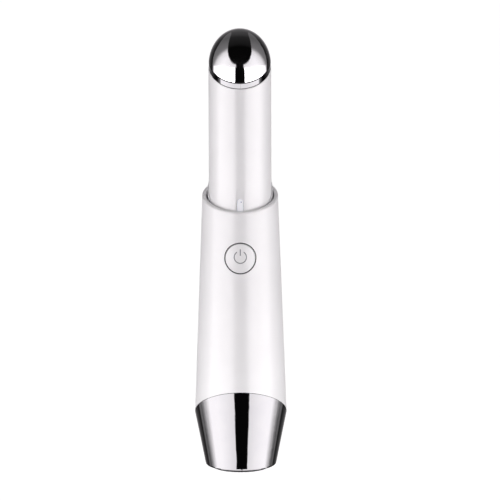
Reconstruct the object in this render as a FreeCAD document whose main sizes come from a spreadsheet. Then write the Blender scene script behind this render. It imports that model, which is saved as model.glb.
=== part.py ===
import FreeCAD, Part
import os
import Sketcher

# Heated eye massager wand, standing on its foot. Millimetres and degrees.
# +Z runs up the wand, the button and the low sides of all slanted joints but the cap's face -Y,
# and z = 0 is the foot's face.

SIZES = {
    # upright bullet whose slanted end carries the head
    "neck_radius": 9.85,
    "nose_base_z": 127.1,
    "nose_long": 11.5,
    # chrome head, the bullet's own end carried out along its slanted joint's normal by a band
    "head_joint_z": 128.7,
    "head_tilt": 31.1,
    "head_band": 2.63,
    "head_inset": 0.05,
    "head_groove": 0.16,
    "spigot_inset": 3.85,
    "spigot_wall": 1.0,
    "spigot_low_z": 118.8,
    "heater_seat_z": 134.5,
    "heater_thick": 1.0,
    "clamp_deep": 2.0,
    "clamp_wall": 0.9,
    "thermistor_radius": 0.8,
    "thermistor_long": 1.2,
    "insulator_low_z": 118.0,
    # neck tube
    "neck_wall": 1.5,
    "neck_base_z": 75.0,
    "neck_flange": 1.15,
    "neck_flange_thick": 1.4,
    "slot_width": 2.55,
    "slot_top_z": 90.5,
    "slot_low_z": 80.0,
    "slot_deep": 0.9,
    "guide_width": 1.9,
    "guide_top_z": 87.8,
    "guide_proud": 0.35,
    "led_wide": 1.8,
    "led_high": 0.9,
    "led_tall": 0.7,
    # slanted sleeve round the neck's base
    "sleeve_wall": 0.3,
    "sleeve_front": 5.1,
    "sleeve_tilt": 38.0,
    # vibration motor in the neck
    "motor_radius": 3.5,
    "motor_low_z": 99.0,
    "motor_long": 14.0,
    "bearing_deep": 3.0,
    "shaft_radius": 0.5,
    "shaft_play": 0.04,
    "shaft_free": 5.2,
    "weight_radius": 3.0,
    "weight_thick": 4.0,
    "weight_gap": 0.7,
    "holder_low_z": 102.0,
    "holder_long": 8.0,
    # wires from the board up to the motor and the heater
    "plug_block_wide": 4.6,
    "plug_block_deep": 2.9,
    "plug_block_high": 5.0,
    "heater_wire_radius": 0.4,
    "heater_wire_x": 1.6,
    "heater_wire_y": 3.8,
    "motor_wire_radius": 0.3,
    "motor_wire_x": 0.7,
    "motor_wire_y": 2.9,
    # tapered handle
    "rim_gap": 0.91,
    "handle_taper": 0.0367,
    "handle_wall": 1.16,
    "rim_z": 87.6,
    "rim_tilt": 17.3,
    "rim_bevel": 0.2,
    # power button
    "button_z": 69.5,
    "button_radius": 4.64,
    "button_play": 0.16,
    "button_hole_radius": 5.05,
    "button_proud": 0.08,
    "button_flange_radius": 5.3,
    "button_flange_drop": 1.82,
    "button_flange_thick": 0.7,
    "stem_radius": 1.6,
    "press_travel": 0.3,
    "plunger_radius": 1.1,
    "plunger_play": 0.12,
    "plunger_proud": 0.7,
    "switch_wide": 4.4,
    "switch_tall": 1.5,
    "mark_radius": 1.92,
    "mark_stroke": 0.32,
    "mark_gap": 2.1,
    "mark_rise": 0.42,
    "mark_bar_low": 0.9,
    "mark_bar_top": 2.95,
    "mark_deep": 0.15,
    # circuit board
    "board_inset": 3.65,
    "board_thick": 1.0,
    "board_width": 13.0,
    "board_low_z": 36.0,
    "board_top_z": 74.0,
    "tongue_width": 6.4,
    "tongue_top_z": 89.0,
    "chip_wide": 5.0,
    "chip_tall": 1.0,
    "logic_chip_z": 56.0,
    "driver_chip_z": 46.0,
    "board_screw_radius": 0.8,
    "board_screw_head": 1.4,
    "board_screw_cap": 0.7,
    "board_screw_long": 4.0,
    "board_screw_z": 38.6,
    "board_screw_x": 4.6,
    # rechargeable cell
    "cell_radius": 5.0,
    "cell_long": 40.0,
    "cell_low_z": 22.0,
    "cell_back": 2.6,
    "cell_nub_radius": 1.6,
    "cell_nub_tall": 0.8,
    "tab_thick": 0.2,
    "tab_width": 4.0,
    # inner frame
    "cradle_play": 0.15,
    "cradle_wall": 1.2,
    "frame_play": 0.12,
    "frame_low_z": 15.0,
    "frame_floor": 3.0,
    "frame_floor_inset": 1.0,
    "flange_z": 30.0,
    "flange_thick": 2.5,
    "frame_ring_tall": 2.4,
    "rail_width": 2.8,
    "pillar_radius": 1.9,
    "pillar_inset": 4.0,
    # chrome bottom cap, foot and charging socket
    "cap_joint_z": 18.05,
    "cap_tilt": -31.5,
    "cap_seam": 0.15,
    "cap_draw": 4.07,
    "cap_round": 0.9,
    "cap_lean": 12.0,
    "cap_wall": 1.6,
    "cap_hole_inset": 6.4,
    "cap_screw_radius": 0.9,
    "cap_screw_head": 1.6,
    "cap_screw_cap": 0.8,
    "cap_screw_long": 7.0,
    "foot_inset": 2.2,
    "foot_thick": 0.8,
    "foot_edge": 0.25,
    "foot_plug_tall": 1.3,
    "press_gap": 0.05,
    "socket_nose_radius": 2.2,
    "socket_recess": 0.3,
    "socket_radius": 3.4,
    "socket_bore_radius": 1.3,
    "socket_bore_deep": 9.0,
    "charge_board_z": 11.5,
    "charge_board_thick": 1.0,
    "charge_board_inset": 1.8,
    # tool for slanted cuts, larger than the wand
    "cutter": 160.0,
}

# sizes that follow others, worked out in the sheet
FOLLOWING = {
    "board_front": "=neck_radius - board_inset",
}

doc = FreeCAD.newDocument("eye_massager_wand")
sheet = doc.addObject("Spreadsheet::Sheet", "Sizes")
for row, (alias, value) in enumerate({**SIZES, **FOLLOWING}.items(), start=1):
    sheet.set("A%d" % row, alias)
    sheet.set("B%d" % row, str(value))
    sheet.setAlias("B%d" % row, alias)
doc.recompute()

nodes = []
numbers = iter(range(1, 10000))
X_AXIS = FreeCAD.Vector(1, 0, 0)
Z_AXIS = FreeCAD.Vector(0, 0, 1)

# radii that follow the neck, so that a stouter or slimmer neck takes the other pieces with it
HANDLE_ROOT = "(neck_radius + rim_gap + handle_wall + handle_taper * rim_z)"
HANDLE_AT = "(" + HANDLE_ROOT + " - handle_taper * (%s))"
SPIGOT = "(neck_radius - spigot_inset)"
HEAD_Y = "-(head_band * sin(head_tilt))"
HEAD_RISE = "(head_band * cos(head_tilt))"
FLANGE_FRONT = "(" + HANDLE_AT % "button_z" + " - handle_wall - button_flange_drop)"
CAP_BASE = "(" + HANDLE_ROOT + " - cap_draw)"
CAP_HOLE = "(" + CAP_BASE + " - cap_hole_inset)"
CAP_ROUND_TOP = "(cap_round * (1 - sin(cap_lean)))"
CAP_ROOT = "(" + CAP_BASE + " + tan(cap_lean) * " + CAP_ROUND_TOP + ")"
FOOT = "(" + CAP_BASE + " - foot_inset)"
FRAME_FLOOR = "(" + CAP_BASE + " - frame_floor_inset)"
PILLAR_X = "(" + CAP_BASE + " - pillar_inset)"


def bound(text):
    """An expression of the sheet: each word that is a cell's alias gets the sheet's name in front."""
    word = ""
    result = ""
    for letter in text + " ":
        if letter.isalnum() or letter == "_":
            word += letter
            continue
        result += "Sizes." + word if word in SIZES or word in FOLLOWING else word
        result += letter
        word = ""
    return result.strip()


def bind(item, **settings):
    """Binds properties of an object to expressions of the sheet."""
    for prop, text in settings.items():
        item.setExpression(prop, bound(text))
    return item


def place(item, x="0", y="0", z="0", turn=None):
    """Binds an object's position and its turn about the X axis."""
    if turn is not None:
        item.Placement = FreeCAD.Placement(FreeCAD.Vector(), FreeCAD.Rotation(X_AXIS, 30))
        item.setExpression("Placement.Rotation.Angle", bound(turn))
    for name, text in (("x", x), ("y", y), ("z", z)):
        item.setExpression("Placement.Base." + name, bound(text))
    return item


def make(kind, **settings):
    return bind(doc.addObject("Part::" + kind, "%s%03d" % (kind, next(numbers))), **settings)


def cut(base, *tools):
    for tool in tools:
        item = doc.addObject("Part::Cut", "Cut%03d" % next(numbers))
        item.Base = base
        item.Tool = tool
        base = item
    return base


def fuse(*shapes):
    item = doc.addObject("Part::MultiFuse", "Fuse%03d" % next(numbers))
    item.Shapes = list(shapes)
    return item


def common(*shapes):
    item = doc.addObject("Part::MultiCommon", "Common%03d" % next(numbers))
    item.Shapes = list(shapes)
    return item


def disc(radius, low, tall, x="0", y="0"):
    """An upright cylinder."""
    return place(make("Cylinder", Radius=radius, Height=tall), x, y, low)


def tube(outer, inner, low, tall, y="0"):
    return cut(disc(outer, low, tall, y=y), disc(inner, "(%s) - 1" % low, "(%s) + 2" % tall, y=y))


def forward_disc(radius, back, deep, z, x="0"):
    """A cylinder that points at the front, from the distance back before the wand's axis."""
    item = make("Cylinder", Radius=radius, Height=deep)
    return place(item, x, "-(%s)" % back, z, turn="90")


def forward_block(wide, back, deep, low, tall, x="0"):
    """A box centred on x that points at the front, from the distance back before the wand's axis."""
    item = make("Box", Length=wide, Width=deep, Height=tall)
    return place(item, "(%s) - (%s) / 2" % (x, wide), "-(%s) - (%s)" % (back, deep), low)


def bullet(inset, low, y="0", rise="0"):
    """The upright form that neck and head share, a cylinder with an oval nose, inset from its face."""
    base = "(nose_base_z + %s)" % rise
    stem = disc("neck_radius - (%s)" % inset, low, "%s - (%s)" % (base, low), y=y)
    nose = make("Ellipsoid", Radius1="nose_long - (%s)" % inset, Radius2="neck_radius - (%s)" % inset,
                Radius3="neck_radius - (%s)" % inset)
    nose.Angle1 = 0
    return fuse(stem, place(nose, y=y, z=base))


def handle_cone(inset, low, high):
    """The handle's taper between two heights, inset from its outer face."""
    radius = HANDLE_AT + " - (%s)"
    item = make("Cone", Radius1=radius % (low, inset), Radius2=radius % (high, inset),
                Height="(%s) - (%s)" % (high, low))
    return place(item, z=low)


def space_above(z, tilt):
    """All that lies above a plane that meets the wand's axis at z and falls by tilt to the front."""
    return place(make("Cylinder", Radius="cutter", Height="cutter"), z=z, turn=tilt)


def space_below(z, tilt):
    return place(make("Cylinder", Radius="cutter", Height="cutter"), z=z, turn="(%s) + 180" % tilt)


def node(label, item):
    """Names the object that is one sub-part of the wand."""
    item.Label = label
    nodes.append(item)
    return item


def body(name):
    return doc.addObject("PartDesign::Body", "Body_" + name)


def outline(owner, role, corners, lift="0"):
    """A closed outline of straight edges in a base plane, its corners bound to the sheet."""
    sketch = owner.newObject("Sketcher::SketchObject", "Sketch%03d" % next(numbers))
    plane = next(item for item in owner.Origin.OriginFeatures if item.Role == role)
    sketch.AttachmentSupport = (plane, [""])
    sketch.MapMode = "FlatFace"
    sketch.setExpression("AttachmentOffset.Base.z", bound(lift))
    values = [[float(sheet.evalExpression(bound(text).replace("Sizes.", ""))) for text in corner]
              for corner in corners]
    count = len(corners)
    for index in range(count):
        start = FreeCAD.Vector(*values[index], 0)
        end = FreeCAD.Vector(*values[(index + 1) % count], 0)
        sketch.addGeometry(Part.LineSegment(start, end), False)
    for index in range(count):
        sketch.addConstraint(Sketcher.Constraint("Coincident", index, 2, (index + 1) % count, 1))
        for kind, text, value in zip(("DistanceX", "DistanceY"), corners[index], values[index]):
            number = sketch.addConstraint(Sketcher.Constraint(kind, -1, 1, index, 1, value))
            sketch.setExpression("Constraints[%d]" % number, bound(text))
    return sketch


def turned(name, corners):
    """A body turned about Z from its half section: radius and height of each corner."""
    item = body(name)
    turning = item.newObject("PartDesign::Revolution", "Revolution%03d" % next(numbers))
    turning.Profile = outline(item, "XZ_Plane", corners)
    turning.ReferenceAxis = (turning.Profile[0], ["V_Axis"])
    turning.Angle = 360
    return item


def plate(name, role, corners, thick, lift="0"):
    """A body of even thickness from its outline in a base plane."""
    item = body(name)
    pad = item.newObject("PartDesign::Pad", "Pad%03d" % next(numbers))
    pad.Profile = outline(item, role, corners, lift)
    pad.setExpression("Length", bound(thick))
    return item


def slanted_oval():
    """Where the cap's slanted joint cuts the handle's taper."""
    middle = HANDLE_AT % "cap_joint_z"
    slope = "(handle_taper * tan(cap_tilt))"
    squared = "(1 - %s * %s)" % (slope, slope)
    oval = make("Ellipse", MajorRadius="%s / %s / cos(cap_tilt)" % (middle, squared),
                MinorRadius="%s / sqrt(%s)" % (middle, squared))
    lean = FreeCAD.Rotation(X_AXIS, SIZES["cap_tilt"])
    oval.Placement = FreeCAD.Placement(FreeCAD.Vector(), lean * FreeCAD.Rotation(Z_AXIS, 90))
    centre = "(-%s * %s / %s)" % (middle, slope, squared)
    oval.setExpression("Placement.Base.y", bound(centre))
    oval.setExpression("Placement.Base.z", bound("cap_joint_z + tan(cap_tilt) * %s" % centre))
    return oval


def flare():
    """The cap's ruled flare, from its round base up to its slanted joint with the handle."""
    ring = make("Circle", Radius=CAP_ROOT)
    ring.Placement = FreeCAD.Placement(FreeCAD.Vector(), FreeCAD.Rotation(Z_AXIS, 90))
    ring.setExpression("Placement.Base.z", bound("foot_thick + " + CAP_ROUND_TOP))
    loft = doc.addObject("Part::Loft", "Loft%03d" % next(numbers))
    loft.Sections = [ring, slanted_oval()]
    loft.Solid = True
    loft.Ruled = True
    return loft


def rounded_floor(steps=5):
    """The cap's floor below its flare, rounded in fine steps at the edge to meet the flare's lean."""
    angle = "(90 - (90 - cap_lean) * %d / %d)"
    radius = "(" + CAP_ROOT + " - cap_round * cos(cap_lean) + cap_round * cos(%s))"
    height = "(foot_thick + cap_round * (1 - sin(%s)))"
    layers = []
    for step in range(steps):
        low = angle % (step, steps)
        high = angle % (step + 1, steps)
        layer = make("Cone", Radius1=radius % low, Radius2=radius % high,
                     Height=height % high + " - " + height % low)
        layers.append(place(layer, z=height % low))
    return fuse(*layers)


def slanted_band(inset, thick):
    """The bullet's slanted end, drawn out by its thickness along the joint's normal."""
    face = make("Plane", Length="4 * neck_radius", Width="4 * neck_radius")
    place(face, "-2 * neck_radius", "-2 * neck_radius * cos(head_tilt)",
          "head_joint_z - 2 * neck_radius * sin(head_tilt)", turn="head_tilt")
    band = doc.addObject("Part::Extrusion", "Extrusion%03d" % next(numbers))
    band.Base = common(face, bullet(inset, "spigot_low_z"))
    band.DirMode = "Custom"
    band.setExpression("Dir.x", "0")
    band.setExpression("Dir.y", bound("-sin(head_tilt)"))
    band.setExpression("Dir.z", bound("cos(head_tilt)"))
    band.Solid = True
    return bind(band, LengthFwd=thick)


def massage_head():
    """Chrome head with a blind bore, and the band it sits on, which leaves a fine groove at each side."""
    ring_bore = disc(SPIGOT + " + press_gap", "spigot_low_z", "4 * neck_radius", y=HEAD_Y)
    crease = "(head_joint_z + head_band / cos(head_tilt))"
    groove = "head_groove / cos(head_tilt)"
    band = cut(slanted_band("head_inset", "head_band"),
               space_below("head_joint_z + " + groove, "head_tilt"),
               space_above(crease + " - " + groove, "head_tilt"))
    node("head_ring", cut(fuse(band, slanted_band("head_inset + head_groove", "head_band")), ring_bore))
    dome = cut(bullet("head_inset", "spigot_low_z", HEAD_Y, HEAD_RISE), space_below(crease, "head_tilt"))
    spigot = cut(disc(SPIGOT, "spigot_low_z", "4 * neck_radius", y=HEAD_Y), space_above(crease, "head_tilt"))
    bore = disc(SPIGOT + " - spigot_wall", "spigot_low_z - 1", "heater_seat_z - spigot_low_z + 1", y=HEAD_Y)
    node("massage_head", cut(fuse(dome, spigot), bore))
    insulator = cut(bullet("neck_wall + press_gap", "insulator_low_z"),
                    space_above("head_joint_z", "head_tilt"))
    node("head_insulator", cut(insulator, disc(SPIGOT + " + press_gap", "insulator_low_z - 1",
                                               "4 * neck_radius", y=HEAD_Y)))


def heater_parts():
    """Heater disc against the head's flat seat, its clamp ring, the thermistor and the wires."""
    room = "(" + SPIGOT + " - spigot_wall - press_gap)"
    under = "(heater_seat_z - heater_thick)"
    node("heater_plate", disc(room, under, "heater_thick", y=HEAD_Y))
    node("heater_clamp", tube(room, room + " - clamp_wall", under + " - clamp_deep", "clamp_deep", HEAD_Y))
    node("thermistor", disc("thermistor_radius", under + " - thermistor_long", "thermistor_long", y=HEAD_Y))
    node("heater_wires", fuse(*[disc("heater_wire_radius", "tongue_top_z", under + " - tongue_top_z",
                                     side + "heater_wire_x", "-heater_wire_y") for side in ("", "-")]))


def neck_parts():
    """Neck tube with its front slot, the light guide in the slot and the sleeve round its base."""
    recess = forward_block("slot_width", "neck_radius - slot_deep", "slot_deep + 1", "slot_low_z",
                           "slot_top_z - slot_low_z")
    guide_hole = guide_bar("guide_width + 2 * press_gap", "guide_top_z + press_gap", "neck_radius / 2",
                           "neck_radius", "slot_low_z")
    wall = fuse(cut(bullet("0", "neck_base_z"), space_above("head_joint_z", "head_tilt")),
                disc("neck_radius + neck_flange", "neck_base_z", "neck_flange_thick"))
    node("neck_shell", cut(wall, bullet("neck_wall", "neck_base_z - 1"), recess, guide_hole))
    back = "(board_front + led_tall + press_gap)"
    node("light_guide", guide_bar("guide_width", "guide_top_z", back,
                                  "neck_radius - slot_deep + guide_proud - " + back,
                                  "slot_low_z + press_gap"))
    outer = "(neck_radius + press_gap + sleeve_wall)"
    low = "neck_base_z + neck_flange_thick"
    sleeve = tube(outer, "neck_radius + press_gap", low, "3 * neck_radius")
    top = low + " + sleeve_front + tan(sleeve_tilt) * " + outer
    node("collar_sleeve", cut(sleeve, space_above(top, "sleeve_tilt")))


def guide_bar(width, top, back, deep, low):
    """A bar with a rounded top that points at the front."""
    shoulder = "((%s) - (%s) / 2)" % (top, width)
    bar = forward_block(width, back, deep, low, "%s - (%s)" % (shoulder, low))
    return fuse(bar, forward_disc("(%s) / 2" % width, back, deep, shoulder))


def motor_parts():
    """Vibration motor on the neck's axis, its soft holder and the eccentric weight on its shaft."""
    top = "(motor_low_z + motor_long)"
    bearing = disc("shaft_radius + shaft_play", top + " - bearing_deep", "bearing_deep + 1")
    node("motor_can", cut(disc("motor_radius", "motor_low_z", "motor_long"), bearing))
    node("motor_shaft", disc("shaft_radius", top + " - bearing_deep + shaft_play",
                             "bearing_deep + shaft_free"))
    low = top + " + weight_gap"
    corners = [("-weight_radius", "0"), ("weight_radius", "0"), ("weight_radius", "weight_radius"),
               ("-weight_radius", "weight_radius")]
    half = common(plate("weight", "XY_Plane", corners, "weight_thick", low),
                  disc("weight_radius", low, "weight_thick"))
    node("eccentric_weight", cut(fuse(half, disc("2 * shaft_radius", low, "weight_thick")),
                                 disc("shaft_radius", low + " - 1", "weight_thick + 2")))
    channel = forward_block("2 * (heater_wire_x + 2 * heater_wire_radius)", "0",
                            "heater_wire_y + 2 * heater_wire_radius", "holder_low_z - 1", "holder_long + 2")
    node("motor_holder", cut(tube("neck_radius - neck_wall - press_gap", "motor_radius + press_gap",
                                  "holder_low_z", "holder_long"), channel))
    node("motor_wires", fuse(*[disc("motor_wire_radius", "tongue_top_z", "motor_low_z - tongue_top_z",
                                    side + "motor_wire_x", "-motor_wire_y") for side in ("", "-")]))


def handle_parts():
    """Tapered handle, slanted at both ends, with a bevelled rim, a fine seam and the button's hole."""
    low = "(cap_joint_z - 2 * neck_radius)"
    high = "(rim_z + 2 * neck_radius)"
    hole = forward_disc("button_hole_radius", "neck_radius / 2", "2 * neck_radius", "button_z")
    bevel = cut(space_above("rim_z - rim_bevel", "rim_tilt"), handle_cone("rim_bevel", low, high))
    seam = cut(space_below("cap_joint_z + cap_seam / cos(cap_tilt)", "cap_tilt"),
               handle_cone("cap_seam", low, high))
    shell = cut(handle_cone("0", low, high), handle_cone("handle_wall", low + " - 1", high + " + 1"))
    node("handle_shell", cut(shell, space_below("cap_joint_z", "cap_tilt"), space_above("rim_z", "rim_tilt"),
                             bevel, seam, hole))


def button_parts():
    """Round key that follows the handle's curve, in a thin dark bezel, over a click switch."""
    low = "button_z - 2 * button_hole_radius"
    high = "button_z + 2 * button_hole_radius"
    key = common(forward_disc("button_radius", FLANGE_FRONT, "neck_radius", "button_z"),
                 handle_cone("-button_proud", low, high))
    flange_back = "(" + FLANGE_FRONT + " - button_flange_thick)"
    flange = forward_disc("button_flange_radius", flange_back, "button_flange_thick", "button_z")
    plunger_top = "(board_front + switch_tall + plunger_proud)"
    stem = forward_disc("stem_radius", plunger_top, "%s - %s" % (flange_back, plunger_top), "button_z")
    node("power_button", cut(fuse(key, flange, stem), power_mark("mark_deep")))
    node("power_symbol", common(power_mark("mark_deep"), handle_cone("-button_proud", low, high)))
    node("switch_plunger", forward_disc("plunger_radius", "board_front + press_travel + press_gap",
                                        "switch_tall + plunger_proud - press_travel - press_gap", "button_z"))
    case = forward_block("switch_wide", "board_front", "switch_tall", "button_z - switch_wide / 2",
                         "switch_wide")
    node("tact_switch", cut(case, forward_disc("plunger_radius + plunger_play", "board_front + press_gap",
                                               "switch_tall + 1", "button_z")))
    ring = cut(forward_disc("button_hole_radius - press_gap", FLANGE_FRONT, "neck_radius", "button_z"),
               forward_disc("button_radius + button_play", FLANGE_FRONT + " - 1", "2 * neck_radius",
                            "button_z"))
    node("button_bezel", cut(common(ring, handle_cone("0", low, high)),
                             handle_cone("handle_wall", low + " - 1", high + " + 1")))


def power_mark(deep):
    """An open ring with a bar through its gap, as deep as given below the key's face."""
    centre = "(button_z + mark_rise)"
    ring = cut(forward_disc("mark_radius + mark_stroke / 2", "neck_radius", "neck_radius", centre),
               forward_disc("mark_radius - mark_stroke / 2", "neck_radius - 1", "neck_radius + 2", centre),
               forward_block("mark_gap", "neck_radius - 1", "neck_radius + 2", centre, "2 * mark_radius"))
    bar = forward_block("mark_stroke", "neck_radius", "neck_radius", "button_z + mark_bar_low",
                        "mark_bar_top - mark_bar_low")
    floor = handle_cone("%s - button_proud" % deep, "button_z - 2 * button_hole_radius",
                        "button_z + 2 * button_hole_radius")
    return cut(fuse(ring, bar), floor)


def board_parts():
    """Circuit board on the frame's rails, its tongue in the neck, with chips, light, plug and screws."""
    corners = [("-board_width / 2", "board_low_z"), ("board_width / 2", "board_low_z"),
               ("board_width / 2", "board_top_z"), ("tongue_width / 2", "board_top_z"),
               ("tongue_width / 2", "tongue_top_z"), ("-tongue_width / 2", "tongue_top_z"),
               ("-tongue_width / 2", "board_top_z"), ("-board_width / 2", "board_top_z")]
    blank = plate("board", "XZ_Plane", corners, "board_thick", "board_front - board_thick")
    sides = ("", "-")
    holes = [forward_disc("board_screw_radius", "board_front - 2 * board_thick", "4 * board_thick",
                          "board_screw_z", side + "board_screw_x") for side in sides]
    node("circuit_board", cut(blank, *holes))
    node("control_chips", fuse(*[forward_block("chip_wide", "board_front", "chip_tall",
                                               height + " - chip_wide / 2", "chip_wide")
                                 for height in ("logic_chip_z", "driver_chip_z")]))
    node("indicator_led", forward_block("led_wide", "board_front", "led_tall",
                                        "guide_top_z - guide_width - led_high", "led_high"))
    node("wire_plug", forward_block("plug_block_wide", "board_front - board_thick - plug_block_deep",
                                    "plug_block_deep", "tongue_top_z - plug_block_high", "plug_block_high"))
    screws = []
    for side in sides:
        x = side + "board_screw_x"
        screws.append(forward_disc("board_screw_head", "board_front", "board_screw_cap", "board_screw_z", x))
        screws.append(forward_disc("board_screw_radius", "board_front - board_screw_long",
                                   "board_screw_long", "board_screw_z", x))
    node("board_screws", fuse(*screws))


def battery_parts():
    """Rechargeable cell in the frame's cradle, with a welded tab at each end."""
    top = "(cell_low_z + cell_long)"
    nub = top + " + cell_nub_tall"
    cell = turned("cell", [("0", "cell_low_z"), ("cell_radius", "cell_low_z"), ("cell_radius", top),
                           ("cell_nub_radius", top), ("cell_nub_radius", nub), ("0", nub)])
    node("battery_cell", place(cell, y="cell_back"))
    back = "(-cell_back - cell_nub_radius)"
    reach = "board_front - board_thick - press_gap - " + back
    node("cell_tabs", fuse(*[forward_block("tab_width", back, reach, low, "tab_thick")
                             for low in ("cell_low_z - tab_thick", nub)]))


def frame_parts():
    """Inner frame: a floor on two pillars, rings that fit the handle, a cradle and rails for the board."""
    height = "(neck_base_z - frame_low_z)"
    rail_front = "(board_front - board_thick)"
    cradle = common(disc("cell_radius + cradle_play + cradle_wall", "frame_low_z", height, y="cell_back"),
                    forward_block("4 * cell_radius", "-cell_back - 2 * cell_radius", "2 * cell_radius",
                                  "frame_low_z", height))
    floor = disc(FRAME_FLOOR, "frame_low_z", "frame_floor")
    flange = handle_cone("handle_wall + frame_play", "flange_z", "flange_z + flange_thick")
    ring_low = "(neck_base_z - frame_ring_tall)"
    ring = handle_cone("handle_wall + frame_play", ring_low, "neck_base_z")
    spine = forward_block("rail_width", "-" + FRAME_FLOOR, FRAME_FLOOR + " - cell_back - cell_radius",
                          "frame_low_z", height)
    rails = [forward_block("rail_width", "-cell_back", rail_front + " + cell_back", "flange_z",
                           "neck_base_z - flange_z", "%s(board_width - rail_width) / 2" % side)
             for side in ("", "-")]
    pillars = [disc("pillar_radius", "foot_thick + cap_wall + press_gap",
                    "frame_low_z - foot_thick - cap_wall", side + PILLAR_X) for side in ("", "-")]
    cell_room = disc("cell_radius + cradle_play", "frame_low_z + frame_floor", height, y="cell_back")
    front_room = forward_block("board_width + 2 * frame_play", rail_front, "4 * neck_radius",
                               "frame_low_z + frame_floor", height)
    neck_room = disc("neck_radius - neck_wall", ring_low + " - 1", "frame_ring_tall + 2")
    board_screw_rooms = [forward_disc("board_screw_radius", "board_front - board_screw_long",
                                      "board_screw_long", "board_screw_z", side + "board_screw_x")
                         for side in ("", "-")]
    node("inner_frame", cut(fuse(cradle, floor, flange, ring, spine, *rails, *pillars), cell_room, front_room,
                            neck_room, *board_screw_rooms, cap_screws()))


def cap_screws():
    """Two screws up through the cap's floor into the frame's pillars."""
    screws = []
    for side in ("", "-"):
        screws.append(disc("cap_screw_head", "foot_thick", "cap_screw_cap", side + PILLAR_X))
        screws.append(disc("cap_screw_radius", "foot_thick", "cap_screw_long", side + PILLAR_X))
    return fuse(*screws)


def base_parts():
    """Chrome cap with its dark foot disc, and the round charging socket on its own board."""
    top = "(cap_joint_z - tan(cap_tilt) * %s)" % (HANDLE_AT % "cap_joint_z")
    inside = make("Cone", Radius1=CAP_BASE + " - cap_wall", Radius2=HANDLE_AT % top + " - cap_wall",
                  Height=top + " - foot_thick - cap_wall")
    node("bottom_cap", cut(fuse(flare(), rounded_floor()), place(inside, z="foot_thick + cap_wall"),
                           disc(CAP_HOLE, "0", "foot_thick + cap_wall + 1"), cap_screws()))
    plug = CAP_HOLE + " - press_gap"
    nose = "socket_nose_radius + press_gap"
    shoulder = "foot_thick + foot_plug_tall"
    node("foot_plate", turned("foot", [(nose, "0"), (FOOT + " - foot_edge", "0"),
                                       (FOOT, "foot_edge"), (FOOT, "foot_thick"),
                                       (plug, "foot_thick"), (plug, shoulder), (nose, shoulder)]))
    floor = "socket_recess + socket_bore_deep"
    node("charging_socket", turned("socket", [("socket_bore_radius", "socket_recess"),
                                              ("socket_nose_radius", "socket_recess"),
                                              ("socket_nose_radius", shoulder), ("socket_radius", shoulder),
                                              ("socket_radius", "charge_board_z"), ("0", "charge_board_z"),
                                              ("0", floor), ("socket_bore_radius", floor)]))
    node("charge_board", cut(disc(CAP_BASE + " - charge_board_inset", "charge_board_z", "charge_board_thick"),
                             *[disc("pillar_radius + frame_play", "charge_board_z - 1",
                                    "charge_board_thick + 2", side + PILLAR_X) for side in ("", "-")]))
    node("cap_screws", cap_screws())


massage_head()
heater_parts()
neck_parts()
motor_parts()
handle_parts()
button_parts()
board_parts()
battery_parts()
frame_parts()
base_parts()
doc.recompute()

for item in doc.Objects:
    if {"Invalid", "Error"} & set(item.State):
        raise RuntimeError("%s did not compute: %s" % (item.Name, item.State))
for item in nodes:
    if item.Shape.isNull() or not item.Shape.isValid():
        raise RuntimeError("%s has no valid shape" % item.Label)
    if not item.Shape.Solids:
        raise RuntimeError("%s has no solid" % item.Label)

os.makedirs("parts", exist_ok=True)
for item in nodes:
    item.Shape.exportStep("parts/%s.step" % item.Label)
    box = item.Shape.optimalBoundingBox()
    print("%-18s %d solid(s) %8.1f mm3  x %6.2f %6.2f  y %6.2f %6.2f  z %6.2f %6.2f" % (
        item.Label, len(item.Shape.Solids), item.Shape.Volume,
        box.XMin, box.XMax, box.YMin, box.YMax, box.ZMin, box.ZMax))
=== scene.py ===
"""Heated eye massager wand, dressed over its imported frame, standing on a pale studio floor."""

import math
from functools import partial

import bpy
from bpy.props import FloatProperty, FloatVectorProperty, PointerProperty
from mathutils import Matrix, Vector

bl_info = {
    "name": "Eye massager wand",
    "version": (1, 0, 0),
    "blender": (4, 5, 0),
    "location": "3D View > Sidebar > Wand",
    "description": "Dresses the packed parts of a heated eye massager wand and lights them",
    "category": "Object",
}

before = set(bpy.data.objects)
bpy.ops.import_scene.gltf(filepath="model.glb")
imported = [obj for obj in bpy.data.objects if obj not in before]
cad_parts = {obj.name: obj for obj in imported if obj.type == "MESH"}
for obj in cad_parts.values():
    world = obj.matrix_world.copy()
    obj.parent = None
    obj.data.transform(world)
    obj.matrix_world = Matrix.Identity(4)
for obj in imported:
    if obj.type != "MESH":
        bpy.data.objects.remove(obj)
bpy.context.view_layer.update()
MM = 0.001


def linear(hex_colour):
    """Linear RGBA of an sRGB hex colour such as F2F2F2."""
    channels = [int(hex_colour[i:i + 2], 16) / 255 for i in (0, 2, 4)]
    return [c / 12.92 if c <= 0.04045 else ((c + 0.055) / 1.055) ** 2.4 for c in channels] + [1.0]


def add_node(tree, kind, inputs=None, **settings):
    """Adds a node with its settings. Each input takes a number, a colour or another node's output."""
    node = tree.nodes.new(kind)
    for name, value in settings.items():
        setattr(node, name, value)
    for name, value in (inputs or {}).items():
        if isinstance(value, bpy.types.NodeSocket):
            tree.links.new(value, node.inputs[name])
        else:
            node.inputs[name].default_value = value
    return node


def fill_ramp(node, stops):
    """Sets a colour ramp's stops from pairs of position and grey level or colour."""
    elements = node.color_ramp.elements
    while len(elements) > 1:
        elements.remove(elements[-1])
    for index, (position, value) in enumerate(stops):
        element = elements[0] if index == 0 else elements.new(position)
        element.position = position
        element.color = value if isinstance(value, list) else [value, value, value, 1.0]
    return node.outputs["Color"]


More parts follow.
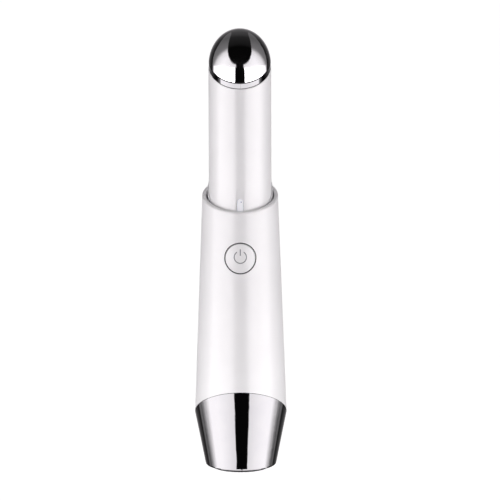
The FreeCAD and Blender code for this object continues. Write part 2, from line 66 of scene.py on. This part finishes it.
def joint_line(tree, place, tilt, height, low, high):
    """1 on a thin band along a slanted joint, from low to high along the joint's normal, and 0 off it."""
    normal = Vector((0, -math.sin(tilt), math.cos(tilt)))
    along = add_node(tree, "ShaderNodeVectorMath", {0: place, 1: normal}, operation="DOT_PRODUCT")
    middle = normal.z * height + (low + high) / 2
    reach = (high - low) / 2
    band = add_node(tree, "ShaderNodeMath", {
        0: along.outputs["Value"], 1: middle, 2: reach}, operation="COMPARE")
    return band.outputs[0]


def band_grooves(tree, place, look):
    """1 in the grooves at the lower and the upper edge of the head's band, and 0 elsewhere."""
    lower = joint_line(tree, place, look.joint_tilt, look.joint_height, 0.0, look.groove)
    upper = joint_line(tree, place, look.joint_tilt, look.joint_height, look.band - look.groove, look.band)
    return add_node(tree, "ShaderNodeMath", {0: lower, 1: upper}, operation="MAXIMUM").outputs[0]


def dark_spot(tree, place, across, height, radius):
    """1 within a radius of a point, seen from the front, and 0 elsewhere."""
    flat = add_node(tree, "ShaderNodeVectorMath", {0: place, 1: (1, 0, 1)}, operation="MULTIPLY")
    middle = (across, 0, height)
    gap = add_node(tree, "ShaderNodeVectorMath", {0: flat.outputs[0], 1: middle}, operation="DISTANCE")
    spot = add_node(tree, "ShaderNodeMath", {0: gap.outputs["Value"], 1: radius}, operation="LESS_THAN")
    return spot.outputs[0]


def surface(name, low, high, grain_mm, roughness, stretch=(1, 1, 1), bump_mm=0.0, line=None, **sockets):
    """A material that drifts between two colours over grains of a real size, with its gloss and relief.

    A line is a pair: what finds it, given the tree and the place, and its hex colour. A metal is dull there.
    """
    material = bpy.data.materials.new(name)
    material.use_nodes = True
    tree = material.node_tree
    tree.nodes.clear()
    place = add_node(tree, "ShaderNodeTexCoord")
    spread = add_node(tree, "ShaderNodeMapping", {"Vector": place.outputs["Object"], "Scale": stretch})
    noise = add_node(tree, "ShaderNodeTexNoise", {
        "Vector": spread.outputs["Vector"], "Scale": 1 / (grain_mm * MM), "Detail": 2.0})
    colour = add_node(tree, "ShaderNodeValToRGB", {"Fac": noise.outputs["Fac"]})
    # most of the noise lies between these two levels
    fill_ramp(colour, [(0.35, linear(low)), (0.65, linear(high))])
    inputs = {"Base Color": colour.outputs["Color"], "Roughness": roughness}
    if line:
        find_line, line_colour = line
        mask = find_line(tree, place.outputs["Object"])
        # a mix of colours takes them at inputs 6 and 7 and gives its result at output 2
        marked = add_node(tree, "ShaderNodeMix", {
            0: mask, 6: colour.outputs["Color"], 7: linear(line_colour)}, data_type="RGBA")
        inputs["Base Color"] = marked.outputs[2]
        if "Metallic" in sockets:
            bare = add_node(tree, "ShaderNodeMath", {0: sockets["Metallic"], 1: mask}, operation="SUBTRACT")
            inputs["Metallic"] = bare.outputs[0]
    if bump_mm:
        relief = add_node(tree, "ShaderNodeBump", {
            "Height": noise.outputs["Fac"], "Strength": 1.0, "Distance": bump_mm * MM})
        inputs["Normal"] = relief.outputs["Normal"]
    for socket, value in sockets.items():
        inputs.setdefault(socket.replace("_", " "), value)
    shader = add_node(tree, "ShaderNodeBsdfPrincipled", inputs)
    add_node(tree, "ShaderNodeOutputMaterial", {"Surface": shader.outputs[0]})
    return material


def dress(material, *names):
    """Gives CAD nodes a material in place of their plain one."""
    for name in names:
        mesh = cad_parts[name].data
        mesh.materials.clear()
        mesh.materials.append(material)


class WandShellSettings(bpy.types.PropertyGroup):
    """Looks of the moulded shells."""

    roughness: FloatProperty(
        name="Shell roughness", description="How far the polished shells blur what they show",
        subtype="FACTOR", min=0, max=1, default=0.28)
    ripple: FloatProperty(
        name="Moulding drift", description="Width of the faint drift of tone in the shells",
        subtype="DISTANCE", unit="LENGTH", default=14 * MM)
    # painted light: the light guide's glow lifts it out of the shade of its slot
    guide_painted_light: FloatProperty(
        name="Light guide glow", description="Level of the light in the guide",
        subtype="FACTOR", min=0, max=2, default=0.2)
    spot: FloatProperty(
        name="Guide spot", description="Radius of the dark spot on the light guide",
        subtype="DISTANCE", unit="LENGTH", default=0.2 * MM)
    spot_across: FloatProperty(
        name="Guide spot across", description="Sideways place of that spot",
        subtype="DISTANCE", unit="LENGTH", default=0.3 * MM)
    spot_height: FloatProperty(
        name="Guide spot height", description="Height of that spot",
        subtype="DISTANCE", unit="LENGTH", default=86.9 * MM)
    # painted shade: a dark grey line painted in the handle's colour, for the shadow in its step over the cap
    seam: FloatProperty(
        name="Handle seam", description="Width of the shadow line where the handle meets the cap",
        subtype="DISTANCE", unit="LENGTH", default=0.15 * MM)
    seam_height: FloatProperty(
        name="Handle seam height", description="Height of that seam on the wand's axis",
        subtype="DISTANCE", unit="LENGTH", default=18.05 * MM)
    seam_tilt: FloatProperty(
        name="Handle seam tilt", description="Slant of that seam, down to the back",
        subtype="ANGLE", default=math.radians(-31.5))


class WandMetalSettings(bpy.types.PropertyGroup):
    """Looks of the plated metal."""

    polish: FloatProperty(
        name="Chrome roughness", description="How far the polished plating blurs what it shows",
        subtype="FACTOR", min=0, max=1, default=0.04)
    # painted shade: the band's grooves and the dome's edge over them are painted dark for the shadow in them
    groove: FloatProperty(
        name="Band grooves", description="Width of the grooves at both edges of the head's band",
        subtype="DISTANCE", unit="LENGTH", default=0.36 * MM)
    edge: FloatProperty(
        name="Dome edge", description="Height of the dull edge of the dome over the band",
        subtype="DISTANCE", unit="LENGTH", default=0.16 * MM)
    band: FloatProperty(
        name="Head band", description="Thickness of the band under the head",
        subtype="DISTANCE", unit="LENGTH", default=2.63 * MM)
    joint_height: FloatProperty(
        name="Head joint height", description="Height of the head's joint on the axis",
        subtype="DISTANCE", unit="LENGTH", default=128.7 * MM)
    joint_tilt: FloatProperty(
        name="Head joint tilt", description="Slant of the head's joint, down to the front",
        subtype="ANGLE", default=math.radians(31.1))


class WandStageSettings(bpy.types.PropertyGroup):
    """Camera, floor and studio light."""

    elevation: FloatProperty(
        name="Camera elevation", description="Angle of the camera above the horizon",
        subtype="ANGLE", default=math.radians(11.0))
    roll: FloatProperty(
        name="Camera roll", description="Turn of the picture about its middle",
        subtype="ANGLE", default=math.radians(-0.17))
    distance: FloatProperty(
        name="Camera distance", description="From the wand's axis to the lens",
        subtype="DISTANCE", unit="LENGTH", default=2.4)
    framed: FloatProperty(
        name="Framed height", description="Height that the picture takes in at the wand",
        subtype="DISTANCE", unit="LENGTH", default=157.5 * MM)
    aim: FloatVectorProperty(
        name="Camera aim", description="Point at the middle of the picture",
        subtype="TRANSLATION", unit="LENGTH", default=(3.04 * MM, 0, 69.79 * MM))
    floor_white: FloatVectorProperty(
        name="Floor", description="Colour of the floor",
        subtype="COLOR", size=4, min=0, max=1, default=linear("F5F5F5"))
    tint: FloatVectorProperty(
        name="Light tint", description="Colour of the studio light",
        subtype="COLOR", size=4, min=0, max=1, default=linear("FFFBFE"))
    fill: FloatProperty(
        name="Fill light", description="Level of the even light on dull surfaces",
        subtype="FACTOR", min=0, max=5, default=2.8)
    panel: FloatProperty(
        name="Light panels", description="Level of the bright cores of the panels that glossy surfaces show",
        subtype="FACTOR", min=0, max=20, default=8.6)
    sides: FloatProperty(
        name="Side lamps", description="Power of each side lamp",
        subtype="POWER", unit="POWER", min=0, default=1.2)
    bounce: FloatProperty(
        name="Floor bounce", description="Power of the light that comes up from the floor",
        subtype="POWER", unit="POWER", min=0, default=0.035)


class WandShells(bpy.types.Operator):
    """Dresses the white shells, the key with its symbol, the light guide and the rubber parts"""

    bl_idname = "wand.shells"
    bl_label = "Shells and rubber"

    def execute(self, context):
        look = context.scene.wand_shells
        # ABS moulded in a polished tool and lacquered: milky white with an even, slightly soft gloss
        white = dict(low="F1F1F1", high="F4F4F4", grain_mm=look.ripple / MM, roughness=look.roughness,
                     IOR=1.53)
        dress(surface("lacquered_abs", **white), "neck_shell", "power_button")
        # the handle is the same, with a grey shadow line painted in its step over the cap: painted shade
        seam = partial(joint_line, tilt=look.seam_tilt, height=look.seam_height, low=0.0, high=look.seam)
        dress(surface("lacquered_abs_seam_shade", line=(seam, "3A3A3C"), **white), "handle_shell")
        # the sleeve is a seal of thermoplastic rubber, moulded: satin pale grey
        sleeve = surface("moulded_elastomer", "D6D6D8", "DDDDDF", grain_mm=2.0, roughness=0.4, IOR=1.5)
        dress(sleeve, "collar_sleeve")
        # pad-printed ink in the key's groove: flat mid grey
        ink = surface("printed_ink", "8B8B8E", "939396", grain_mm=0.4, roughness=0.6, IOR=1.5)
        dress(ink, "power_symbol")
        # silicone rubber, moulded: soft dark grey, which also stands in for shade: painted shade in the
        # bezel's seam round the key and a painted contact shadow under the cap
        silicone_and_gap_shade = surface("moulded_silicone_and_shade", "262628", "2D2D2F", grain_mm=0.5, roughness=0.55, IOR=1.43)
        dress(silicone_and_gap_shade, "button_bezel", "motor_holder", "foot_plate")
        # opal acrylic light guide, moulded, with a polished face: milky all through, with a small dark spot
        # on it; its faint glow is painted light that lifts it out of the shade of its slot, and no lamp
        # lights it
        lens = partial(dark_spot, across=look.spot_across, height=look.spot_height, radius=look.spot)
        acrylic = surface("opal_acrylic_painted_light", "EEF0F4", "F6F6FA", grain_mm=1.2, roughness=0.12,
                          line=(lens, "4A4A50"), IOR=1.49,
                          Emission_Color=linear("F2F4FA"), Emission_Strength=look.guide_painted_light)
        dress(acrylic, "light_guide")
        return {"FINISHED"}


class WandMetal(bpy.types.Operator):
    """Dresses head, its band and base cap in chrome"""

    bl_idname = "wand.metal"
    bl_label = "Chrome"

    def execute(self, context):
        look = context.scene.wand_metal
        # bright chrome plating over polished zinc: a near-perfect mirror, very faintly blue
        plate = dict(low="F2F2F4", high="F5F5F6", grain_mm=6.0, roughness=look.polish, Metallic=1.0)
        groove_shade_colour = "262628"
        dress(surface("chrome_plating", **plate), "bottom_cap")
        # the dome's turned lower edge, down in the groove over the band, is painted dull and dark: painted
        # shade for the shadow in the groove
        edge = partial(joint_line, tilt=look.joint_tilt, height=look.joint_height,
                       low=look.band - look.groove, high=look.band + look.edge)
        dress(surface("chrome_plating_edge_shade", line=(edge, groove_shade_colour), **plate), "massage_head")
        # the band is plated too, and its turned grooves are painted dull and dark: painted shade for the
        # shadow in them
        grooves = partial(band_grooves, look=look)
        dress(surface("chrome_plating_groove_shade", line=(grooves, groove_shade_colour), **plate), "head_ring")
        return {"FINISHED"}


class WandHeater(bpy.types.Operator):
    """Dresses the heater disc, its clamp, the insulator, the sensor, all wires and their plug"""

    bl_idname = "wand.heater"
    bl_label = "Heater parts"

    def execute(self, context):
        # fired ceramic, lapped flat: chalky off-white with fine pores
        ceramic = surface("fired_ceramic", "DAD8D0", "E6E4DE", grain_mm=0.3, roughness=0.7, bump_mm=0.01,
                          IOR=1.7)
        dress(ceramic, "heater_plate")
        # natural nylon, moulded: cream with a dull skin
        nylon = surface("natural_nylon", "D2CDBE", "DCD8CB", grain_mm=1.5, roughness=0.5, IOR=1.53)
        dress(nylon, "heater_clamp", "head_insulator", "wire_plug")
        # glass bead of the sensor: amber, glossy
        bead = surface("bead_glass", "A8722C", "BE8438", grain_mm=0.5, roughness=0.15, IOR=1.52)
        dress(bead, "thermistor")
        # silicone-covered wire, extruded: red with a satin skin
        wire = surface("wire_silicone", "A3241C", "B42E24", grain_mm=0.6, roughness=0.45, IOR=1.43)
        dress(wire, "heater_wires", "motor_wires")
        return {"FINISHED"}


class WandMotor(bpy.types.Operator):
    """Dresses the vibration motor, its shaft and weight, and the small steel and nickel parts"""

    bl_idname = "wand.motor"
    bl_label = "Vibration motor"

    def execute(self, context):
        # nickel-plated drawn can: bright with faint lines along the draw
        can = surface("nickel_plate", "C4C0B6", "D0CCC2", grain_mm=0.3, roughness=0.25,
                      stretch=(1, 1, 0.05), Metallic=1.0)
        dress(can, "motor_can", "cell_tabs")
        # ground steel shaft and rolled screws: grey, finely lined round
        steel = surface("ground_steel", "A6A7A9", "B4B5B7", grain_mm=0.15, roughness=0.28,
                        stretch=(0.1, 0.1, 1), Metallic=1.0)
        dress(steel, "motor_shaft", "board_screws", "cap_screws", "tact_switch")
        # sintered tungsten: dark, faintly grainy
        tungsten = surface("sintered_tungsten", "5E5D5B", "6B6A68", grain_mm=0.12, roughness=0.45,
                           bump_mm=0.004, Metallic=1.0)
        dress(tungsten, "eccentric_weight")
        return {"FINISHED"}


class WandBoards(bpy.types.Operator):
    """Dresses the circuit boards, chips, light, switch plunger and charging socket"""

    bl_idname = "wand.boards"
    bl_label = "Boards and socket"

    def execute(self, context):
        # glass-epoxy laminate under green solder mask: glossy over a fine weave
        laminate = surface("solder_mask", "0E4A26", "13572E", grain_mm=0.6, roughness=0.3, bump_mm=0.006,
                           IOR=1.5)
        dress(laminate, "circuit_board", "charge_board")
        # epoxy chip package, transfer-moulded: black with a dull face
        epoxy = surface("moulded_epoxy", "1B1B1C", "222223", grain_mm=0.1, roughness=0.6, IOR=1.55)
        dress(epoxy, "control_chips", "charging_socket", "switch_plunger")
        # light chip under clear resin over phosphor: pale yellow
        resin = surface("phosphor_resin", "E6CF7C", "F0DC90", grain_mm=0.4, roughness=0.2, IOR=1.5)
        dress(resin, "indicator_led")
        return {"FINISHED"}


class WandCore(bpy.types.Operator):
    """Dresses the inner frame and the rechargeable cell"""

    bl_idname = "wand.core"
    bl_label = "Frame and cell"

    def execute(self, context):
        # black ABS with a spark-eroded face: dull, with a fine even grain
        dull_abs = surface("textured_abs", "2C2C2E", "353537", grain_mm=0.35, roughness=0.6, bump_mm=0.012,
                           IOR=1.53)
        dress(dull_abs, "inner_frame")
        # heat-shrunk film on the cell: blue, glossy
        film = surface("shrink_film", "1C4690", "2250A0", grain_mm=3.0, roughness=0.22, IOR=1.54)
        dress(film, "battery_cell")
        return {"FINISHED"}


class WandStage(bpy.types.Operator):
    """Sets the floor, the studio light and the camera"""

    bl_idname = "wand.stage"
    bl_label = "Studio and camera"

    def execute(self, context):
        look = context.scene.wand_stage
        self.make_floor(context.scene, look)
        self.make_world(context.scene, look)
        self.make_lamps(context.scene, look)
        self.make_camera(context.scene, look)
        context.scene.view_settings.view_transform = "Standard"
        return {"FINISHED"}

    def make_floor(self, scene, look):
        """A wide pale floor just under the wand, which glossy and dull surfaces don't show."""
        reach = 3.0
        level = -0.05 * MM
        corners = [
            (-reach, -reach, level), (reach, -reach, level), (reach, reach, level), (-reach, reach, level)]
        mesh = bpy.data.meshes.new("studio_floor")
        mesh.from_pydata(corners, [], [(0, 1, 2, 3)])
        mesh.materials.append(self.floor_paint(look))
        floor = bpy.data.objects.new("studio_floor", mesh)
        floor.visible_glossy = False
        floor.visible_diffuse = False
        scene.collection.objects.link(floor)

    def floor_paint(self, look):
        """Matt paint that keeps the wand's shadow, reads as white elsewhere, and is clear from below."""
        grey = [0.5, 0.5, 0.5, 1.0]
        own_light = 0.93
        material = bpy.data.materials.new("painted_floor")
        material.use_nodes = True
        tree = material.node_tree
        tree.nodes.clear()
        shade = add_node(tree, "ShaderNodeBsdfDiffuse", {"Color": grey})
        glow = add_node(tree, "ShaderNodeEmission", {"Color": look.floor_white, "Strength": own_light})
        paint = add_node(tree, "ShaderNodeAddShader", {0: shade.outputs[0], 1: glow.outputs[0]})
        side = add_node(tree, "ShaderNodeNewGeometry")
        clear = add_node(tree, "ShaderNodeBsdfTransparent")
        seen = add_node(tree, "ShaderNodeMixShader", {
            "Fac": side.outputs["Backfacing"], 1: paint.outputs[0], 2: clear.outputs[0]})
        add_node(tree, "ShaderNodeOutputMaterial", {"Surface": seen.outputs[0]})
        return material

    def make_world(self, scene, look):
        """A studio that is white to the camera, even light to dull surfaces, and panels to glossy ones.

        The panels are two tall ones beside the wand, with a dark gap between them in front and a dark top.
        """
        # a little over 1, so that the tinted background still reads as white
        white = 1.05
        world = bpy.data.worlds.new("studio")
        world.use_nodes = True
        scene.world = world
        tree = world.node_tree
        tree.nodes.clear()
        ray = add_node(tree, "ShaderNodeTexCoord")
        part = add_node(tree, "ShaderNodeSeparateXYZ", {0: ray.outputs["Generated"]})
        across, back, up = part.outputs[0], part.outputs[1], part.outputs[2]
        # the same from 0 to 1, as a colour ramp takes it: from below to above, and from the front to the back
        height = add_node(tree, "ShaderNodeMapRange", {"Value": up, "From Min": -1.0}).outputs[0]
        aft = add_node(tree, "ShaderNodeMapRange", {"Value": back, "From Min": -1.0}).outputs[0]

        panels = self.light_panels(tree, look, across, up, back, height, aft)
        room = self.dim_room(tree, back, up)
        glossy = add_node(tree, "ShaderNodeMath", {0: panels, 1: room}, operation="ADD")
        dull = self.even_light(tree, look, height)

        # a mix of numbers takes them at inputs 2 and 3
        path = add_node(tree, "ShaderNodeLightPath")
        plain = add_node(tree, "ShaderNodeMix", {
            "Factor": path.outputs["Is Glossy Ray"], 2: dull, 3: glossy.outputs[0]}, data_type="FLOAT")
        clear = add_node(tree, "ShaderNodeMath", {
            0: path.outputs["Is Camera Ray"], 1: path.outputs["Is Transmission Ray"]}, operation="MAXIMUM")
        strength = add_node(tree, "ShaderNodeMix", {
            "Factor": clear.outputs[0], 2: plain.outputs[0], 3: white}, data_type="FLOAT")
        sky = add_node(tree, "ShaderNodeBackground", {"Color": look.tint, "Strength": strength.outputs[0]})
        add_node(tree, "ShaderNodeOutputWorld", {"Surface": sky.outputs[0]})

    def light_panels(self, tree, look, across, up, back, height, aft):
        """The two panels: their own level, with bright cores, cut off at the gap between them."""
        sideways = self.off_middle(tree, across, up)
        # the panels dim along a slanted way, up and to the back, and this is how much the height counts in it
        top_share = 0.908
        lean = add_node(tree, "ShaderNodeMath", {0: up, 1: top_share, 2: back}, operation="MULTIPLY_ADD")
        leaned = add_node(tree, "ShaderNodeMapRange", {"Value": lean.outputs[0], "From Min": -1.0}).outputs[0]
        shaded = self.panel_shade(tree, sideways, height, aft, leaned)
        cores = self.panel_cores(tree, height, leaned)
        lit = add_node(tree, "ShaderNodeMath", {0: cores, 1: look.panel, 2: shaded}, operation="MULTIPLY_ADD")
        beside = self.beside_gap(tree, sideways, height, aft)
        panels = add_node(tree, "ShaderNodeMath", {0: lit.outputs[0], 1: beside}, operation="MULTIPLY")
        return panels.outputs[0]

    def off_middle(self, tree, across, up):
        """How far a direction points sideways of the gap's middle, which low down lies a little right."""
        offset = add_node(tree, "ShaderNodeMapRange", {
            "Value": up, "From Min": -0.35, "From Max": -0.10, "To Min": 0.036, "To Max": 0.0})
        shifted = add_node(tree, "ShaderNodeMath", {0: across, 1: offset.outputs[0]}, operation="SUBTRACT")
        return add_node(tree, "ShaderNodeMath", {0: shifted.outputs[0]}, operation="ABSOLUTE").outputs[0]

    def beside_gap(self, tree, sideways, height, aft):
        """1 beside the dark gap between the panels and 0 in it.

        The gap's half-width goes by height up to eye level, and over that by how far it has passed overhead.
        """
        soft_edge = 0.02
        low = add_node(tree, "ShaderNodeValToRGB", {"Fac": height})
        low_width = fill_ramp(low, [
            (0.10, 0.0), (0.14, 0.285), (0.28, 0.285), (0.40, 0.335), (0.53, 0.25), (0.56, 1.0)])
        high = add_node(tree, "ShaderNodeValToRGB", {"Fac": aft})
        high_width = fill_ramp(high, [
            (0.0, 0.20), (0.015, 0.24), (0.03, 0.34), (0.053, 0.435), (0.085, 0.53),
            (0.118, 0.595), (0.157, 0.645), (0.20, 0.678), (0.268, 0.694), (0.35, 0.661),
            (0.45, 0.598), (0.53, 0.538), (0.63, 0.45), (0.79, 0.315), (0.86, 0.28)])
        width = add_node(tree, "ShaderNodeMath", {0: low_width, 1: high_width}, operation="MINIMUM")
        beyond = add_node(tree, "ShaderNodeMath", {0: sideways, 1: width.outputs[0]}, operation="SUBTRACT")
        edge = add_node(tree, "ShaderNodeMapRange", {
            "Value": beyond.outputs[0], "From Min": -soft_edge, "From Max": soft_edge},
            interpolation_type="SMOOTHSTEP")
        return edge.outputs[0]

    def panel_shade(self, tree, sideways, height, aft, leaned):
        """The panels' own level: dimmer towards the back, the top and the gap."""
        sheen = add_node(tree, "ShaderNodeValToRGB", {"Fac": leaned})
        level = fill_ramp(sheen, [
            (0.25, 1.0), (0.33, 0.98), (0.40, 0.92), (0.50, 0.80), (0.56, 0.66), (0.60, 0.48),
            (0.64, 0.28), (0.68, 0.18), (0.75, 0.15), (0.85, 0.13), (1.0, 0.09)])
        # where they end towards the back: sharp at most heights, a long fade at the height of the base
        starts = add_node(tree, "ShaderNodeValToRGB", {"Fac": height})
        fade_start = fill_ramp(starts, [
            (0.20, 0.63), (0.245, 0.56), (0.265, 0.47), (0.31, 0.47), (0.375, 0.60), (0.425, 0.735),
            (0.70, 0.73), (0.74, 0.75), (0.775, 0.77), (0.80, 0.82), (0.82, 0.90)])
        stops = add_node(tree, "ShaderNodeValToRGB", {"Fac": height})
        fade_stop = fill_ramp(stops, [
            (0.20, 0.65), (0.245, 0.72), (0.265, 0.686), (0.31, 0.686), (0.375, 0.79), (0.425, 0.757),
            (0.70, 0.75), (0.74, 0.77), (0.775, 0.79), (0.80, 0.84), (0.82, 0.92)])
        ends = add_node(tree, "ShaderNodeMapRange", {
            "Value": aft, "From Min": fade_start, "From Max": fade_stop, "To Min": 1.0, "To Max": 0.0})
        shaped = add_node(tree, "ShaderNodeMath", {0: level, 1: ends.outputs[0]}, operation="MULTIPLY")
        rounded = add_node(tree, "ShaderNodeMapRange", {
            "Value": sideways, "From Min": 0.35, "From Max": 0.85, "To Min": 0.82, "To Max": 1.05})
        soft = add_node(tree, "ShaderNodeMath", {
            0: shaped.outputs[0], 1: rounded.outputs[0]}, operation="MULTIPLY")
        return soft.outputs[0]

    def panel_cores(self, tree, height, leaned):
        """The panels' bright cores, just below eye level and to the front."""
        low = add_node(tree, "ShaderNodeValToRGB", {"Fac": height})
        by_height = fill_ramp(low, [
            (0.31, 0.0), (0.37, 1.0), (0.43, 1.0), (0.45, 0.12), (0.465, 0.012), (0.53, 0.0)])
        fore = add_node(tree, "ShaderNodeValToRGB", {"Fac": leaned})
        by_lean = fill_ramp(fore, [(0.28, 1.0), (0.40, 0.6), (0.47, 0.10), (0.60, 0.06), (0.65, 0.0)])
        return add_node(tree, "ShaderNodeMath", {0: by_height, 1: by_lean}, operation="MULTIPLY").outputs[0]

    def dim_room(self, tree, back, up):
        """The dim room round the panels: a grey wall at the back and a faint ceiling."""
        # the most that the two parts of a direction add up to
        furthest = 1.4
        wall = add_node(tree, "ShaderNodeValToRGB", {"Fac": back})
        wall_level = fill_ramp(wall, [
            (0.58, 0.0), (0.75, 0.03), (0.82, 0.045), (0.90, 0.13), (0.95, 0.25), (0.98, 0.7), (1.0, 1.0)])
        over = add_node(tree, "ShaderNodeMath", {0: back, 1: up}, operation="ADD")
        overhead = add_node(tree, "ShaderNodeMapRange", {"Value": over.outputs[0], "From Max": furthest})
        roof = add_node(tree, "ShaderNodeValToRGB", {"Fac": overhead.outputs[0]})
        roof_level = fill_ramp(roof, [
            (0.2, 0.002), (0.36, 0.009), (0.61, 0.014), (0.79, 0.02), (0.89, 0.04), (1.0, 0.06)])
        return add_node(tree, "ShaderNodeMath", {0: wall_level, 1: roof_level}, operation="ADD").outputs[0]

    def even_light(self, tree, look, height):
        """Light for dull surfaces: most from round about, little from above, the floor's share from below."""
        dull = add_node(tree, "ShaderNodeValToRGB", {"Fac": height})
        level = fill_ramp(dull, [
            (0.0, 0.16), (0.485, 0.16), (0.50, 1.0), (0.57, 1.0), (0.61, 0.40), (0.70, 0.12), (1.0, 0.03)])
        return add_node(tree, "ShaderNodeMath", {0: level, 1: look.fill}, operation="MULTIPLY").outputs[0]

    def make_lamps(self, scene, look):
        """Soft lamps that only dull surfaces show: one at each side and one at the foot."""
        side, lifted, low = 0.8, 0.12, 0.5 * MM
        broad, small = 0.5, 0.16
        lamps = (
            ("left_lamp", (-side, 0, lifted), broad, look.sides),
            ("right_lamp", (side, 0, lifted), broad, look.sides),
            ("floor_bounce", (0, 0, low), small, look.bounce))
        target = Vector((0, 0, 70 * MM))
        for name, spot, size, power in lamps:
            lamp = bpy.data.lights.new(name, "AREA")
            lamp.shape = "DISK"
            lamp.size = size
            lamp.energy = power
            holder = bpy.data.objects.new(name, lamp)
            holder.location = spot
            holder.rotation_euler = (target - holder.location).to_track_quat("-Z", "Y").to_euler()
            holder.visible_glossy = False
            holder.visible_camera = False
            holder.visible_transmission = False
            scene.collection.objects.link(holder)

    def make_camera(self, scene, look):
        """A long lens in front of the wand and a little above it."""
        sensor_mm = 36.0
        lens = bpy.data.cameras.new("studio_camera")
        lens.sensor_width = sensor_mm
        lens.lens = sensor_mm * look.distance / look.framed
        lens.clip_end = 20.0
        camera = bpy.data.objects.new("studio_camera", lens)
        away = Vector((0, -math.cos(look.elevation), math.sin(look.elevation)))
        turn = (-away).to_track_quat("-Z", "Y").to_matrix() @ Matrix.Rotation(look.roll, 3, "Z")
        camera.rotation_euler = turn.to_euler()
        camera.location = Vector(look.aim) + away * look.distance
        scene.collection.objects.link(camera)
        scene.camera = camera


OPERATORS = (WandShells, WandMetal, WandHeater, WandMotor, WandBoards, WandCore, WandStage)
SETTINGS = {
    "wand_shells": WandShellSettings,
    "wand_metal": WandMetalSettings,
    "wand_stage": WandStageSettings,
}


class WandPanel(bpy.types.Panel):
    """Lists the steps that dress the wand"""

    bl_idname = "VIEW3D_PT_wand"
    bl_label = "Eye massager wand"
    bl_space_type = "VIEW_3D"
    bl_region_type = "UI"
    bl_category = "Wand"

    def draw(self, context):
        for operator in OPERATORS:
            self.layout.operator(operator.bl_idname)
        for name, group in SETTINGS.items():
            settings = getattr(context.scene, name)
            box = self.layout.box()
            for prop in group.__annotations__:
                box.prop(settings, prop)


def register():
    for group in SETTINGS.values():
        bpy.utils.register_class(group)
    for name, group in SETTINGS.items():
        setattr(bpy.types.Scene, name, PointerProperty(type=group))
    for operator in OPERATORS:
        bpy.utils.register_class(operator)
    bpy.utils.register_class(WandPanel)


def unregister():
    bpy.utils.unregister_class(WandPanel)
    for operator in reversed(OPERATORS):
        bpy.utils.unregister_class(operator)
    for name, group in SETTINGS.items():
        delattr(bpy.types.Scene, name)
        bpy.utils.unregister_class(group)


def main():
    register()
    bpy.ops.wand.shells()
    bpy.ops.wand.metal()
    bpy.ops.wand.heater()
    bpy.ops.wand.motor()
    bpy.ops.wand.boards()
    bpy.ops.wand.core()
    bpy.ops.wand.stage()


if __name__ == "__main__":
    main()
